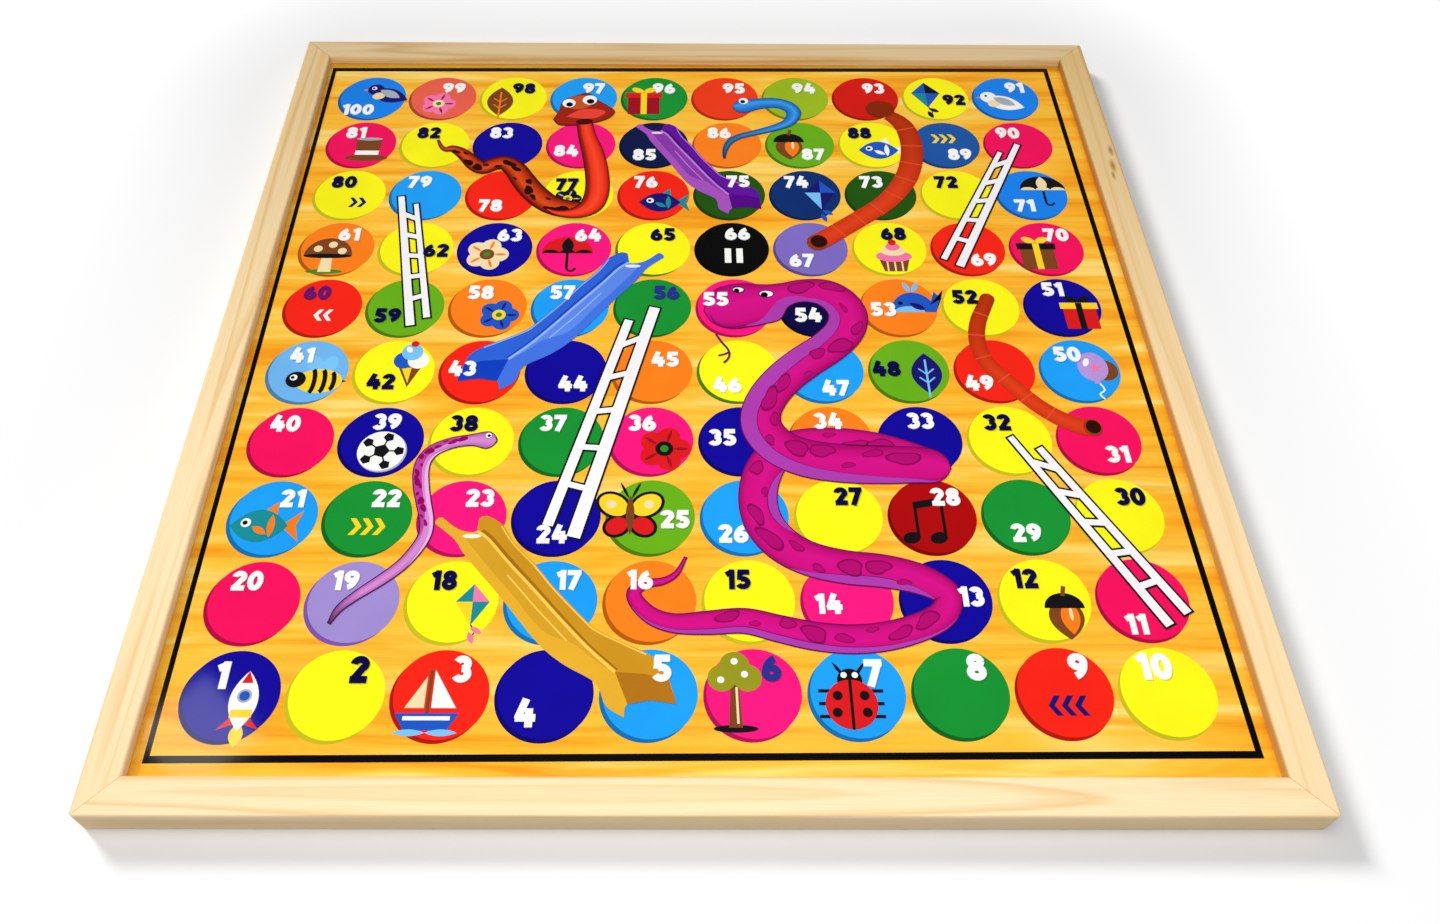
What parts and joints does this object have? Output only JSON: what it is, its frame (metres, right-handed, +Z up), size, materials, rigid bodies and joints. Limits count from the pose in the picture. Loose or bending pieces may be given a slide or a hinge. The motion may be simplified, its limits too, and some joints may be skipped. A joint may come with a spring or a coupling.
{
  "type": "snakes and ladders board",
  "caption": "Square framed game board: mitred pine rails around a recessed glossy print of numbered round spaces joined by snakes, ladders, slides and tubes.",
  "frame": {"origin": "middle of the board, on the table that its rails lie on", "axes": "+Z up out of the printed face, +X to the right and +Y away from the player at the first row"},
  "size_m": [0.5, 0.5, 0.015],
  "materials": {
    "pine": "planed, thin clear varnish",
    "hardboard": "bare pressed fibre",
    "print": "glossy laminated print",
    "steel": "bright wire"
  },
  "bodies": {
    "root": {"front_rail": "pine", "right_rail": "pine", "rear_rail": "pine", "left_rail": "pine", "backing_panel": "hardboard", "printed_sheet": "print", "corner_brad_front_left_lower": "steel", "corner_brad_front_left_upper": "steel", "corner_brad_front_right_lower": "steel", "corner_brad_front_right_upper": "steel", "corner_brad_rear_left_lower": "steel", "corner_brad_rear_left_upper": "steel", "corner_brad_rear_right_lower": "steel", "corner_brad_rear_right_upper": "steel", "panel_pin_front_1": "steel", "panel_pin_front_2": "steel", "panel_pin_front_3": "steel", "panel_pin_right_1": "steel", "panel_pin_right_2": "steel", "panel_pin_right_3": "steel", "panel_pin_rear_1": "steel", "panel_pin_rear_2": "steel", "panel_pin_rear_3": "steel", "panel_pin_left_1": "steel", "panel_pin_left_2": "steel", "panel_pin_left_3": "steel"}
  },
  "joints": []
}
